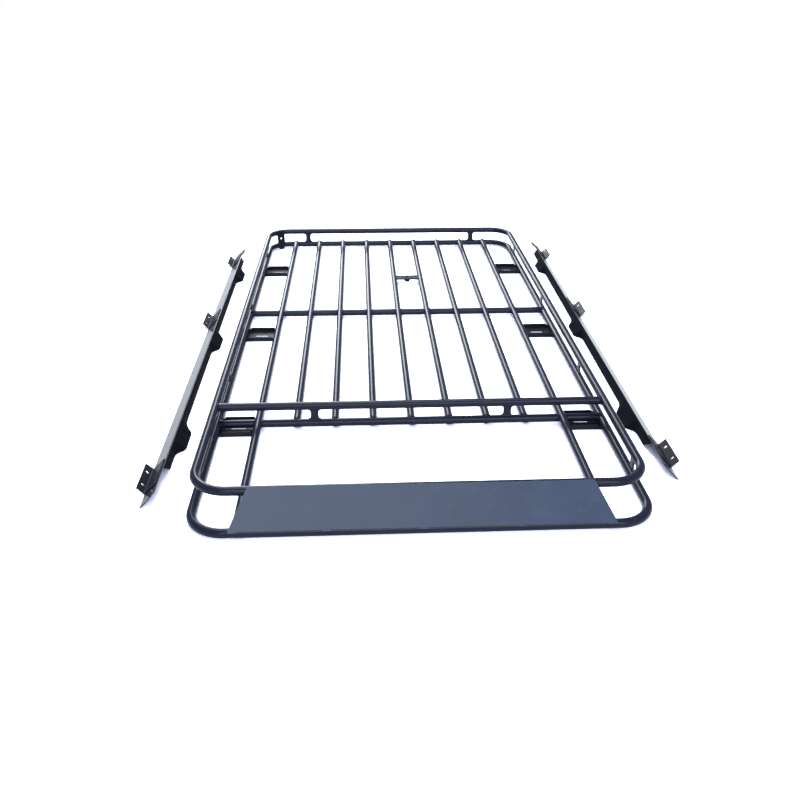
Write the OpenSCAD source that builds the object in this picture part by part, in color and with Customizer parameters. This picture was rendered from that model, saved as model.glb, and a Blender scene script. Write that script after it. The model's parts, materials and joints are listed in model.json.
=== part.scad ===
// Roof basket for a long estate car or off-roader: two bent-tube rings one
// above the other, a floor of nine long bars, a sheet wind fairing at the front
// and the pair of bent-sheet side rails that carry it, laid down beside it.
// X runs across the car, Y from front (minus) to rear, Z up. The floor is z = 0.

/* [Rings] */
// Distance between the side tube centrelines
ring_w = 1134; // [900:1:1300]
// Length of the lower ring between front and rear centrelines
ring_l = 2233; // [1900:1:2600]
// Centreline bend radius at the corners
bend_r = 90; // [60:1:140]
// Outside diameter of the ring tube
ring_d = 24; // [20:0.5:30]
// Height of the upper ring above the lower, centre to centre
ring_rise = 61.5; // [45:0.5:90]
// How far the upper ring's front sits behind the lower one's
front_setback = 85; // [50:1:120]

/* [Floor] */
// Outside diameter of the long bars
bar_d = 22; // [18:0.5:26]
// Distance from a side tube's centreline to the outer long bar's
outer_gap = 119; // [90:1:160]
// Number of long bars that cross the floor
bar_count = 9; // [9:1:9]
// Height of the long bars above the ring centreline
bar_lift = 7; // [5:0.5:14]
// Distance by which a bar's end stops short of the ring tube's centreline
bar_short = 9; // [4:0.5:11]
// Outside diameter of the crossbars
cross_d = 24; // [20:0.5:26]
// How far the crossbars sit inside their ring's centreline, in height
cross_nip = 2.6; // [0:0.2:4]
// Position of the middle crossbar along the length
mid_y = 236; // [150:1:330]
// Position of the front crossbars along the length
cross_y = -606; // [-700:1:-500]

/* [Fairing] */
// Thickness of the fairing sheet
fair_t = 2.5; // [1.5:0.1:4]
// Distance of the fairing's upper corners in from the side tube's centreline
fair_top_in = 142; // [100:1:220]
// Distance of the fairing's lower corners in from the side tube's centreline
fair_low_in = 101; // [92:1:180]
// Overlap of the sheet past the upper tube's centre
fair_top_lap = 3; // [2:0.5:9]
// Overlap of the sheet past the lower tube's centre
fair_low_lap = 2; // [1:0.5:9]

/* [Posts] */
// Thickness of a post plate
post_t = 5; // [3:0.5:8]
// Width of a post at its ends
post_w = 33; // [26:1:40]
// Width of a post at its waist
post_waist = 20; // [14:1:24]
// Distance of the rear posts in from the side tube's centreline
rear_post_in = 177; // [110:1:260]
// Distance of the front posts in from the side tube's centreline
front_post_in = 284; // [200:1:380]
// Places of the side posts along the length, from the rear
side_post_y = [903, 281, -323, -900];

/* [Pads] */
// Length of a mounting pad along the car
pad_l = 90; // [70:1:110]
// Height of the pad's turned-up front and rear lips
pad_lip_h = 16; // [12:0.5:18]
// Cut across each upper corner of a lip
lip_cut = 8; // [2:0.5:10]
// Sheet thickness of the pads
pad_t = 2.5; // [2:0.1:4]
// Length of the bolt slot in a pad
pad_slot_l = 46; // [30:1:60]
// Width of the bolt slot in a pad
pad_slot_w = 9; // [7:0.5:12]
// Places of the pads along the length, from the rear
pad_y = [752, 63, -603];

/* [Side rails] */
// Distance of the left rail's ridge from the middle of the basket
left_rail_x = 673.3; // [640:0.1:720]
// Distance of the right rail's ridge from the middle of the basket
right_rail_x = 667.2; // [640:0.1:720]
// Angle at which the left rail's front end lies closer in
left_rail_toe = 0.4; // [0:0.05:2]
// Angle at which the right rail's front end lies closer in
right_rail_toe = 0.75; // [0:0.05:2]
// How far the left rail lies forward of the right one
rail_slip = 70; // [0:1:120]
// Height of a rail's ridge above the floor
rail_h = 38.5; // [34:0.5:50]
// Sheet thickness of the rails
rail_t = 2.5; // [2:0.1:3.5]
// Outside radius of the fold along the ridge
rail_bend_r = 4; // [4:0.5:8]
// Rear end of a rail
rail_rear_y = 1035; // [1000:1:1080]
// Front tip of a rail
rail_front_y = -916; // [-950:1:-900]
// Rear end of the rail's inner leg, at the fold
leg_rear_y = 922; // [900:1:950]
// Front end of the rail's inner leg, at the fold
leg_front_y = -788; // [-820:1:-760]
// Reach of a foot inward from the rail's ridge
foot_reach = 29.5; // [20:0.5:40]
// Length of a foot along its inner edge
foot_l = 93; // [80:1:110]
// Places of the feet along the right rail, from the rear
foot_y = [766, 70, -598];

/* [Rail tabs] */
// Width of the bolt slots in the tabs
slot_w = 9; // [6:0.5:10]
// Length of the bolt slots in the tabs
slot_l = 11; // [10:0.5:14]
// Distance between the two slots of a tab
slot_pitch = 57; // [50:1:70]
// Length of a tab along the rail
tab_l = 114; // [100:1:140]
// Reach of a tab away from the rail's outer face
tab_reach = 28; // [20:1:36]
// Places of the tabs along the right rail, from the rear
tab_y = [945, 261, -802];

/* [Fittings] */
// Place of the accessory strap along the length
strap_y = 603; // [500:1:700]
// Width of the accessory strap
strap_w = 42; // [30:1:60]
// Thickness of the accessory strap
strap_t = 5; // [2:0.5:6]
// Thread hole in the strap's nut
strap_hole_d = 12; // [8:0.5:16]
// Depth of the strap's nut
nut_h = 12; // [8:0.5:16]
// Place of the corner bracket round the bend, from straight back
bracket_turn = 33; // [20:1:45]
// Width of the corner bracket
bracket_w = 36; // [24:1:44]
// Thickness of the corner bracket
bracket_t = 4; // [3:0.5:6]
// Holes in the corner bracket
bracket_hole_d = 9; // [6:0.5:12]

/* [Hidden] */
$fn = 48;
// clearance left for the weld between two pieces
weld_gap = 0.25;
ring_z = 16;
upper_z = ring_z + ring_rise;
bar_z = ring_z + bar_lift;
cross_z = ring_z + cross_nip;
upper_cross_z = upper_z - cross_nip;
// places along the length are given for a ring of this length, and keep their share of it
drawn_l = 2233;
function along(y) = y * ring_l / drawn_l;
cross_at = along(cross_y);
mid_at = along(mid_y);
strap_at = along(strap_y);
post_at = [for (y = side_post_y) along(y)];
pad_at = [for (y = pad_y) along(y)];
foot_at = [for (y = foot_y) along(y)];
tab_at = [for (y = tab_y) along(y)];
rail_rear = along(rail_rear_y);
rail_front = along(rail_front_y);
leg_rear = along(leg_rear_y);
leg_front = along(leg_front_y);
half_w = ring_w / 2;
rear_y = ring_l / 2;
front_y = -ring_l / 2;
upper_front_y = front_y + front_setback;
ring_r = ring_d / 2;
bar_r = bar_d / 2;
cope_d = ring_d + 2 * weld_gap;
bar_cope_d = bar_d + 2 * weld_gap;
cross_cope_d = cross_d + 2 * weld_gap;
// how far a bar or crossbar ends short of the centre of the tube it butts
butt_short = 6;
fair_run = sqrt(front_setback * front_setback + ring_rise * ring_rise);
fair_tilt = atan2(ring_rise, front_setback);
outer_bar_x = half_w - outer_gap;
bar_pitch = 2 * outer_bar_x / (bar_count - 1);
// depth to which a pad's lip is scooped under the long bar
lip_hold = 2;
// centre height and inner radius of the fold along a rail's ridge
fold_z = rail_h - rail_bend_r;
skin_r = rail_bend_r - rail_t;
// where the outer and inner skins of the rail's slope meet the floor
slope_out = fold_z + sqrt(2) * rail_bend_r;
slope_in = fold_z + sqrt(2) * skin_r;
fold_steps = 6;
leg_lean = 1;
leg_low = 4;
leg_slant = 42;
foot_splay = foot_reach - rail_bend_r;
foot_rise = 54;
foot_fall = 25;
sliver = 0.02;
rib_y = [26, -6];
rib_d = 3.6;
rib_l = 26;
tip_r = 45;
tip_x = 38;
tail_r = 46;
tail_x = 14;
// the rear tab is shorter and has one slot, near its rear end
short_tab_l = tab_l - 16;
short_slot_y = 33;
tab_low = 3;
tab_flange = 46;
nut_d = strap_hole_d + 10;
bracket_hole_z = [ring_z - 1, ring_z + 37];

// a round bar across the car
module bar_x(x0, x1, y, z, d) {
  translate([x0, y, z]) rotate([0, 90, 0]) cylinder(d = d, h = x1 - x0);
}

// a round bar along the car
module bar_y(y0, y1, x, z, d) {
  translate([x, y1, z]) rotate([90, 0, 0]) cylinder(d = d, h = y1 - y0);
}

// a quarter bend of tube about a corner centre
module bend(x, y, z, turn, d) {
  translate([x, y, z]) rotate([0, 0, turn])
    rotate_extrude(angle = 90) translate([bend_r, 0]) circle(d = d);
}

// one closed ring of tube with four bent corners
module ring(y0, y1, z, d) {
  xs = half_w - bend_r;
  bar_x(-xs, xs, y0, z, d);
  bar_x(-xs, xs, y1, z, d);
  bar_y(y0 + bend_r, y1 - bend_r, -half_w, z, d);
  bar_y(y0 + bend_r, y1 - bend_r, half_w, z, d);
  bend(xs, y1 - bend_r, z, 0, d);
  bend(-xs, y1 - bend_r, z, 90, d);
  bend(-xs, y0 + bend_r, z, 180, d);
  bend(xs, y0 + bend_r, z, 270, d);
}

// a slot with round ends, its length along X
module slot_x(len, w, h) {
  translate([-(len - w) / 2, 0, 0]) cylinder(d = w, h = h, center = true);
  translate([(len - w) / 2, 0, 0]) cylinder(d = w, h = h, center = true);
  cube([len - w, w, h], center = true);
}

module lower_ring() {
  color("#2b2f36") ring(front_y, rear_y, ring_z, ring_d);
}

module upper_ring() {
  color("#2b2f36") ring(upper_front_y, rear_y, upper_z, ring_d);
}

// a crossbar fitted between the side tubes of one ring, which lie at tube_z
module crossbar(y, z, tube_z) {
  end = half_w - butt_short;
  color("#2f333a") difference() {
    bar_x(-end, end, y, z, cross_d);
    for (side = [-1, 1]) bar_y(y - cross_d, y + cross_d, side * half_w, tube_z, cope_d);
  }
}

// a long floor bar notched down over the tubes it crosses
module long_bar(index) {
  x = (index - (bar_count + 1) / 2) * bar_pitch;
  outer = index == 1 || index == bar_count;
  y0 = outer ? front_y + bar_short : cross_at + butt_short;
  color("#2f333a") difference() {
    bar_y(y0, rear_y - bar_short, x, bar_z, bar_d);
    bar_x(x - bar_d, x + bar_d, rear_y, ring_z, cope_d);
    for (y = [mid_at, cross_at]) bar_x(x - bar_d, x + bar_d, y, cross_z, cross_cope_d);
    if (outer) bar_x(x - bar_d, x + bar_d, front_y, ring_z, cope_d);
  }
}

// the sheet that leans from the lower front tube up to the upper one
module wind_fairing() {
  top = half_w - fair_top_in;
  low = half_w - fair_low_in;
  color("#4d6072")
    translate([0, front_y, ring_z]) rotate([fair_tilt, 0, 0])
      translate([0, 0, ring_r + weld_gap]) linear_extrude(fair_t)
        polygon([
          [-low, -fair_low_lap],
          [low, -fair_low_lap],
          [top, fair_run + fair_top_lap],
          [-top, fair_run + fair_top_lap],
        ]);
}

// a waisted post standing between two tubes of diameter d, its width along X
module post_plate(rise, d) {
  nip = (post_w - post_waist) / 2;
  half_h = (rise - d) / 2;
  cut_r = (half_h * half_h + nip * nip) / (2 * nip);
  color("#2b2f36") difference() {
    translate([-post_w / 2, -post_t / 2, 0]) cube([post_w, post_t, rise]);
    for (side = [-1, 1])
      translate([side * (post_waist / 2 + cut_r), 0, rise / 2])
        rotate([90, 0, 0]) cylinder(r = cut_r, h = post_w, center = true);
    for (z = [0, rise]) bar_x(-post_w, post_w, 0, z, d + 2 * weld_gap);
  }
}

// a post on the rear tubes
module rear_post(side) {
  translate([side * (half_w - rear_post_in), rear_y, ring_z]) post_plate(ring_rise, ring_d);
}

// a post between the two front crossbars
module front_post(side) {
  translate([side * (half_w - front_post_in), cross_at, cross_z])
    post_plate(upper_cross_z - cross_z, cross_d);
}

// a post on the side tubes
module side_post(side, i) {
  translate([side * half_w, post_at[i], ring_z])
    rotate([0, 0, 90]) post_plate(ring_rise, ring_d);
}

// turns a piece drawn for the right side into the left one when side is -1
module on_side(side) {
  if (side > 0) children();
  else mirror([1, 0, 0]) children();
}

// the lip of a pad, seen from the front: its upper corners are cut away
function lip_outline() = [
  [outer_bar_x, 0],
  [half_w, 0],
  [half_w, pad_lip_h - lip_cut],
  [half_w - ring_r + 1, pad_lip_h - lip_cut],
  [half_w - ring_r + 1 - lip_cut, pad_lip_h],
  [outer_bar_x + bar_r + lip_cut, pad_lip_h],
  [outer_bar_x + bar_r, pad_lip_h - lip_cut],
  [outer_bar_x + bar_r / 2, bar_z - bar_r + lip_hold],
  [outer_bar_x, bar_z - bar_r + lip_hold],
];

// a pressed channel between a side tube and the outer long bar
module pad(side, i) {
  y0 = pad_at[i] - pad_l / 2;
  y1 = pad_at[i] + pad_l / 2;
  color("#24272d") on_side(side) difference() {
    union() {
      translate([outer_bar_x, y0, 0]) cube([half_w - outer_bar_x, pad_l, pad_t]);
      section_run(y0, y0 + pad_t, lip_outline());
      section_run(y1 - pad_t, y1, lip_outline());
    }
    bar_y(y0 - pad_t, y1 + pad_t, half_w, ring_z, cope_d);
    bar_y(y0 - pad_t, y1 + pad_t, outer_bar_x, bar_z, bar_cope_d);
    translate([(outer_bar_x + half_w) / 2, pad_at[i], 0])
      slot_x(pad_slot_l, pad_slot_w, 4 * pad_t);
  }
}

// the upright plate with two holes, inside the bend at the rear left corner
module corner_bracket() {
  inner_r = bend_r - ring_r;
  face_r = sqrt(inner_r * inner_r - bracket_w * bracket_w / 4) - weld_gap;
  color("#24272d")
    translate([bend_r - half_w, rear_y - bend_r, 0]) rotate([0, 0, bracket_turn])
      translate([0, face_r, 0]) rotate([90, 0, 0]) difference() {
        union() {
          translate([-bracket_w / 2, bracket_w / 2, 0])
            cube([bracket_w, upper_z - bracket_w / 2, bracket_t]);
          translate([0, bracket_w / 2, 0]) cylinder(d = bracket_w, h = bracket_t);
        }
        for (z = bracket_hole_z)
          translate([0, z, -1]) cylinder(d = bracket_hole_d, h = bracket_t + 2);
      }
}

// the flat strap that joins two long bars, with a nut beneath its middle
module accessory_strap() {
  y0 = strap_at - strap_w;
  y1 = strap_at + strap_w;
  color("#24272d") difference() {
    union() {
      translate([0, strap_at - strap_w / 2, bar_z]) cube([bar_pitch, strap_w, strap_t]);
      translate([bar_pitch / 2, strap_at, bar_z - nut_h]) cylinder(d = nut_d, h = nut_h);
    }
    for (x = [0, bar_pitch]) {
      bar_y(y0, y1, x, bar_z, bar_cope_d);
      translate([x, strap_at, bar_z]) cube([bar_d / 2, 2 * strap_w, 4 * bar_d], center = true);
    }
    translate([bar_pitch / 2, strap_at, bar_z])
      cylinder(d = strap_hole_d, h = 4 * nut_h, center = true);
  }
}

// an outline in X and Z drawn out along Y
module section_run(y0, y1, section) {
  translate([0, y1, 0]) rotate([90, 0, 0]) linear_extrude(y1 - y0) polygon(section);
}

// an arc about the centre of the ridge's fold
function fold_arc(r, from, to) = [
  for (i = [0 : fold_steps])
    let (a = from + (to - from) * i / fold_steps) [r * cos(a), fold_z + r * sin(a)]
];

// section of the rail's sloping outer face, with the outer half of the fold
function slope_section() = concat(
  fold_arc(rail_bend_r, 100, 45),
  [[slope_out, 0], [slope_in, 0]],
  fold_arc(skin_r, 45, 100)
);

// section of the inner half of the fold
function fold_section() = concat(
  fold_arc(rail_bend_r, 90, 180),
  [[-rail_bend_r, fold_z - 1], [-skin_r, fold_z - 1]],
  fold_arc(skin_r, 180, 90)
);

// section of the leg below the fold, which leans inward by s down to height low
function leg_section(s, low) = [
  [-rail_bend_r, fold_z],
  [-skin_r, fold_z],
  [-skin_r - s, low],
  [-rail_bend_r - s, low],
];

// the bent sheet of one side rail, drawn for the right side
module rail_sheet() {
  difference() {
    section_run(rail_front, rail_rear, slope_section());
    // rounded front tip, longest at the outer edge
    translate([tip_x, rail_front + tip_r, -1]) difference() {
      translate([-2 * tip_r, -2 * tip_r, 0]) cube([4 * tip_r, 2 * tip_r, 2 * rail_h]);
      translate([0, 0, -1]) cylinder(r = tip_r, h = 3 * rail_h);
    }
    // rounded tail, longest near the ridge
    translate([tail_x, rail_rear - tail_r, -1]) difference() {
      translate([-2 * tail_r, 0, 0]) cube([4 * tail_r, 2 * tail_r, 2 * rail_h]);
      translate([0, 0, -1]) cylinder(r = tail_r, h = 3 * rail_h);
    }
  }
  rail_leg();
}

// the inner half of the sheet: fold, leg and feet, its two ends cut on a slant
module rail_leg() {
  half = foot_l / 2;
  stops = [
    leg_rear + leg_slant,
    for (y = foot_at) each [y + half + foot_rise, y - half - foot_fall],
    leg_front,
  ];
  difference() {
    union() {
      section_run(leg_front, leg_rear, fold_section());
      for (i = [0 : 2 : len(stops) - 1])
        section_run(stops[i + 1], stops[i], leg_section(leg_lean, leg_low));
      for (y = foot_at) foot(y);
    }
    slant_cut([
      [leg_front - leg_slant, 0],
      [leg_front + leg_slant, 0],
      [leg_front, fold_z],
      [leg_front - leg_slant, fold_z],
    ]);
    slant_cut([
      [leg_rear + leg_slant, 0],
      [leg_rear + 2 * leg_slant, 0],
      [leg_rear + 2 * leg_slant, rail_h],
      [leg_rear, rail_h],
      [leg_rear, fold_z],
    ]);
  }
}

// a prism across the leg, its outline drawn in Y and Z
module slant_cut(outline) {
  translate([-2 * foot_reach, 0, 0]) rotate([90, 0, 90])
    linear_extrude(4 * foot_reach) polygon(outline);
}

// a foot: the leg splayed inward to the floor, ribbed, with a gusset at each end
module foot(y) {
  rear = y + foot_l / 2;
  front = y - foot_l / 2;
  section_run(front, rear, leg_section(foot_splay, 0));
  gusset(rear - sliver, foot_rise);
  gusset(front, -foot_fall - sliver);
  for (dy = rib_y)
    translate([-rail_bend_r - foot_splay / 2, y + dy, fold_z / 2])
      rotate([0, atan2(foot_splay, fold_z), 0]) cylinder(d = rib_d, h = rib_l, center = true);
}

// the sheet that closes a foot's end back to the leg
module gusset(y, run) {
  hull() {
    section_run(y, y + sliver, leg_section(foot_splay, 0));
    section_run(y + run, y + run + sliver, leg_section(leg_lean, leg_low));
  }
}

// where a rail lies: side is 1 for the right, -1 for the left
module lay_rail(side) {
  if (side > 0)
    translate([right_rail_x, 0, 0]) rotate([0, 0, -right_rail_toe]) children();
  else
    mirror([1, 0, 0]) translate([left_rail_x, -rail_slip, 0])
      rotate([0, 0, -left_rail_toe]) children();
}

// an L-shaped tab welded on the rail's sloping outer face
module tab(side, i) {
  len = i == 0 ? short_tab_l : tab_l;
  slots = i == 0 ? [short_slot_y] : [-slot_pitch / 2, slot_pitch / 2];
  color("#24272d") lay_rail(side)
    translate([slope_out, tab_at[i], 0]) rotate([0, -45, 0])
      translate([weld_gap, -len / 2, tab_low]) {
        cube([rail_t, len, tab_flange]);
        difference() {
          cube([tab_reach, len, rail_t]);
          for (dy = slots)
            translate([tab_reach / 2 + 1, len / 2 + dy, 0]) slot_x(slot_l, slot_w, 4 * rail_t);
        }
      }
}

module rail(side) {
  color("#3a3d47") lay_rail(side) rail_sheet();
}

lower_ring();
upper_ring();
crossbar(cross_at, upper_cross_z, upper_z);  // upper_crossbar
crossbar(cross_at, cross_z, ring_z);  // lower_crossbar
crossbar(mid_at, cross_z, ring_z);  // middle_crossbar
long_bar(1);  // long_bar_1
long_bar(2);  // long_bar_2
long_bar(3);  // long_bar_3
long_bar(4);  // long_bar_4
long_bar(5);  // long_bar_5
long_bar(6);  // long_bar_6
long_bar(7);  // long_bar_7
long_bar(8);  // long_bar_8
long_bar(9);  // long_bar_9
wind_fairing();
rear_post(-1);  // post_rear_left
rear_post(1);  // post_rear_right
front_post(-1);  // post_front_left
front_post(1);  // post_front_right
side_post(-1, 0);  // post_left_1
side_post(-1, 1);  // post_left_2
side_post(-1, 2);  // post_left_3
side_post(-1, 3);  // post_left_4
side_post(1, 0);  // post_right_1
side_post(1, 1);  // post_right_2
side_post(1, 2);  // post_right_3
side_post(1, 3);  // post_right_4
pad(-1, 0);  // pad_left_rear
pad(-1, 1);  // pad_left_middle
pad(-1, 2);  // pad_left_front
pad(1, 0);  // pad_right_rear
pad(1, 1);  // pad_right_middle
pad(1, 2);  // pad_right_front
corner_bracket();
accessory_strap();
rail(-1);  // rail_left
rail(1);  // rail_right
tab(-1, 0);  // tab_left_rear
tab(-1, 1);  // tab_left_middle
tab(-1, 2);  // tab_left_front
tab(1, 0);  // tab_right_rear
tab(1, 1);  // tab_right_middle
tab(1, 2);  // tab_right_front
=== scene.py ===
"""A steel roof basket and its two side rails, dressed for a studio picture.

Sizes are in metres, in the frame of the solid model: X to the right of the
car, Y to the rear, Z up from the floor.
"""
import json
import math

import bpy
import numpy as np
from mathutils import Matrix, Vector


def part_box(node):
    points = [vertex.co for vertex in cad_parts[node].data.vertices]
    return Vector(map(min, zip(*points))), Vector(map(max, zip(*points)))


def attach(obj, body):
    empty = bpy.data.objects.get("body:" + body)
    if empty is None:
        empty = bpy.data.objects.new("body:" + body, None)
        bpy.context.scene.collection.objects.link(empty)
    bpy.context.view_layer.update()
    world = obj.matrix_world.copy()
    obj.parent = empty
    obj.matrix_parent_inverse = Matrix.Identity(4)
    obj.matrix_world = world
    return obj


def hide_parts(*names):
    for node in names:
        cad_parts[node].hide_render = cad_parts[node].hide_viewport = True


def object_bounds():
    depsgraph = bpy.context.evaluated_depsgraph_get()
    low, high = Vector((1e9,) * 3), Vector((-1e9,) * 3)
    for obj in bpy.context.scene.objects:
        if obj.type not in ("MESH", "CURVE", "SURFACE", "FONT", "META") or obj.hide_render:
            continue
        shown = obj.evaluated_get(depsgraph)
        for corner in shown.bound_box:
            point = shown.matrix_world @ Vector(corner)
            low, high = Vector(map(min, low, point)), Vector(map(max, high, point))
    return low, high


bl_info = {
    "name": "Roof Basket Finish",
    "version": (1, 0, 0),
    "blender": (4, 5, 0),
    "location": "View3D > Sidebar > Roof Basket",
    "description": "Coats, welds and fixings of a tube roof basket, with a studio floor",
    "category": "Object",
}

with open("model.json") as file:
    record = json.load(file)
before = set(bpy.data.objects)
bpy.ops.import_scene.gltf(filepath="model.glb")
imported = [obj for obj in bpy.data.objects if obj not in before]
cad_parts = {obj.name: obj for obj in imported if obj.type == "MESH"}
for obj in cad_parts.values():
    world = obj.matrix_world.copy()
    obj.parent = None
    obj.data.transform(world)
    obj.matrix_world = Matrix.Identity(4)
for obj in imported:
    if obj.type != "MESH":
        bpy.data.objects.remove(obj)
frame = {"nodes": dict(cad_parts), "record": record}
NODES = frame["nodes"]
CAD_BOX = [list(corner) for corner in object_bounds()]


def span(name):
    """Lowest and highest corner of a solid as two arrays."""
    low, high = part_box(name)
    return np.array(low), np.array(high)


# sizes read back from the solids
RING_LOW, RING_HIGH = span("lower_ring")
UPPER_LOW, UPPER_HIGH = span("upper_ring")
RING_R = (RING_HIGH[2] - RING_LOW[2]) / 2
RING_Z = (RING_HIGH[2] + RING_LOW[2]) / 2
UPPER_Z = (UPPER_HIGH[2] + UPPER_LOW[2]) / 2
SIDE_X = RING_HIGH[0] - RING_R
REAR_Y = RING_HIGH[1] - RING_R
FRONT_Y = RING_LOW[1] + RING_R
UPPER_FRONT_Y = UPPER_LOW[1] + RING_R
CROSS_LOW, CROSS_HIGH = span("middle_crossbar")
CROSS_R = (CROSS_HIGH[1] - CROSS_LOW[1]) / 2
CROSS_Z = CROSS_HIGH[2] - CROSS_R
MID_Y = (CROSS_LOW[1] + CROSS_HIGH[1]) / 2
CROSS_Y = float(np.mean([corner[1] for corner in span("lower_crossbar")]))
UPPER_CROSS_Z = span("upper_crossbar")[0][2] + CROSS_R
CROSS_END = CROSS_HIGH[0]
BAR_R = (span("long_bar_5")[1][0] - span("long_bar_5")[0][0]) / 2
BAR_Z = span("long_bar_5")[1][2] - BAR_R
BAR_X = [float(np.mean([corner[0] for corner in span(f"long_bar_{i}")])) for i in range(1, 10)]
BAR_REAR = span("long_bar_5")[1][1]
CROSSBARS = (
    ("middle_crossbar", MID_Y, CROSS_Z, RING_Z),
    ("lower_crossbar", CROSS_Y, CROSS_Z, RING_Z),
    ("upper_crossbar", CROSS_Y, UPPER_CROSS_Z, UPPER_Z),
)

# sizes as drawn in the solid model
BEND_R = 0.09

# the side rails, each in its own frame: ridge along Y at x = 0
FOLD_R = 0.004
SHEET = 0.0025
FOLD_Z = span("rail_right")[1][2] - FOLD_R
FACE_X = FOLD_Z + math.sqrt(2) * FOLD_R
FACE_IN_X = FOLD_Z + math.sqrt(2) * (FOLD_R - SHEET)
RAIL_X = {1: 0.6672, -1: 0.6733}
RAIL_TOE = {1: math.radians(0.75), -1: math.radians(0.4)}
RAIL_SHIFT = {1: 0.0, -1: -0.07}
RAIL_FRONT, RAIL_REAR = -0.916, 1.035
LEG_FRONT, LEG_REAR, LEG_SLANT = -0.788, 0.922, 0.042
FOOT_Y = (0.7650, 0.0685, -0.5990)
TAB_Y = (0.945, 0.261, -0.802)
TAB_HALF = (0.049, 0.057, 0.057)


# shader maths
class Field:
    """A shader socket that can be added to, taken from and multiplied like a number."""

    def __init__(self, shade, socket):
        self.shade, self.socket = shade, socket

    def _math(self, operation, *terms):
        return self.shade.node("ShaderNodeMath", {"operation": operation}, *terms)

    def __add__(self, other):
        return self._math("ADD", self, other)

    __radd__ = __add__

    def __mul__(self, other):
        return self._math("MULTIPLY", self, other)

    def __sub__(self, other):
        return self._math("SUBTRACT", self, other)

    def step(self, low, high):
        """0 below low, 1 above high, and an even rise between them."""
        return self.shade.node(
            "ShaderNodeMapRange", {"clamp": True}, self, low, high, 0.0, 1.0
        )


COATS = {}


class Nodes:
    """A node tree, emptied first, in which one method makes and fills every node."""

    def __init__(self, tree):
        self.tree = tree
        self.tree.nodes.clear()

    def node(self, kind, settings=None, *values, pick=0, **named):
        """A node of a type with its settings made first, then its sockets filled.

        An output node has no socket to hand on, and comes back as it is.
        """
        made = self.tree.nodes.new(kind)
        for key, value in (settings or {}).items():
            setattr(made, key, value)
        pairs = list(zip(made.inputs, values))
        pairs += [(made.inputs[key.replace("_", " ")], value) for key, value in named.items()]
        for socket, value in pairs:
            self.fill(socket, value)
        return Field(self, made.outputs[pick]) if made.outputs else made

    def fill(self, socket, value):
        """Links a field to a socket, or sets a plain value or colour on it."""
        if value is None:
            return
        if isinstance(value, Field):
            self.tree.links.new(value.socket, socket)
        elif socket.type == "RGBA":
            socket.default_value = (*value, 1.0)
        else:
            socket.default_value = value


class Shade(Nodes):
    """The node tree of one material, with one surface shader."""

    def __init__(self, name, colour):
        self.material = bpy.data.materials.new(name)
        COATS[name] = self.material
        self.material.use_nodes = True
        self.material.diffuse_color = (*colour, 1.0)
        super().__init__(self.material.node_tree)
        self.principled = self.node("ShaderNodeBsdfPrincipled")
        self.surface = self.principled.socket.node
        self.out = self.node("ShaderNodeOutputMaterial", None, self.principled)

    def place(self):
        """Object coordinates, in metres."""
        return self.node("ShaderNodeTexCoord", pick=3)

    def noise(self, scale, detail, rough):
        """Soft noise with a given number of cells to the metre."""
        return self.node(
            "ShaderNodeTexNoise", None, Vector=self.place(), Scale=scale, Detail=detail,
            Roughness=rough,
        )

    def mix(self, share, first, second):
        """One colour into another by a share from 0 to 1.

        The five sockets passed over are those for plain numbers and vectors.
        """
        return self.node(
            "ShaderNodeMix", {"data_type": "RGBA"}, share, *[None] * 5, first, second, pick=2,
        )

    def set(self, **sockets):
        """Fills sockets of the surface shader by their names."""
        for key, value in sockets.items():
            self.fill(self.surface.inputs[key.replace("_", " ")], value)

    def bump(self, height, strength, distance):
        """Raises or sinks the surface by a field."""
        self.set(Normal=self.node(
            "ShaderNodeBump", None, Strength=strength, Distance=distance, Height=height,
        ))


# mesh tools
def outward(verts, faces):
    """Turns every face over if the closed surface holds a negative volume.

    The volume is the sum over triangles of a . (b x c) / 6.
    """
    total = 0.0
    for group in {len(face) for face in faces}:
        ring = verts[np.array([face for face in faces if len(face) == group])]
        for k in range(1, group - 1):
            cross = np.cross(ring[:, k], ring[:, k + 1])
            total += float(np.einsum("ij,ij->", ring[:, 0], cross))
    return verts, [face[::-1] for face in faces] if total < 0 else faces


def merge(parts):
    """Several vertex and face lists as one pair."""
    verts, faces, base = [], [], 0
    for points, rings in parts:
        verts.append(points)
        faces += [[base + k for k in ring] for ring in rings]
        base += len(points)
    return np.vstack(verts), faces


def make_piece(name, shape, coat_name, replaced=(), crease=38.0, slot=None):
    """A mesh object at the origin that rides with the basket and wears a coat."""
    verts, faces = shape
    mesh = bpy.data.meshes.new(name)
    mesh.from_pydata(verts.tolist(), [], faces)
    mesh.polygons.foreach_set("use_smooth", np.ones(len(faces), bool))
    mesh.set_sharp_from_angle(angle=math.radians(crease))
    mesh.update()
    mesh.materials.append(COATS[coat_name])
    piece = bpy.data.objects.new(name, mesh)
    bpy.context.scene.collection.objects.link(piece)
    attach(piece, "root")
    slot or coat_name
    if replaced:
        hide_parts(*replaced)


def grid_faces(rows, columns, wrap_rows=False, wrap_columns=False):
    """The quads of a grid of points numbered row by row."""
    i = np.arange(rows if wrap_rows else rows - 1)[:, None]
    j = np.arange(columns if wrap_columns else columns - 1)[None, :]
    below, after = (i + 1) % rows, (j + 1) % columns
    corners = (i * columns + j, below * columns + j, below * columns + after, i * columns + after)
    return np.stack(np.broadcast_arrays(*corners), -1).reshape(-1, 4).tolist()


def capped(points):
    """Closes a stack of rings of points with a fan at each end."""
    rows, sides = points.shape[:2]
    ends = np.stack([points[0].mean(0), points[-1].mean(0)])
    verts = np.vstack([points.reshape(-1, 3), ends])
    faces = grid_faces(rows, sides, wrap_columns=True)
    first, last, centre = 0, (rows - 1) * sides, rows * sides
    for k in range(sides):
        after = (k + 1) % sides
        faces.append([centre, first + k, first + after])
        faces.append([centre + 1, last + after, last + k])
    return outward(verts, faces)


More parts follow.
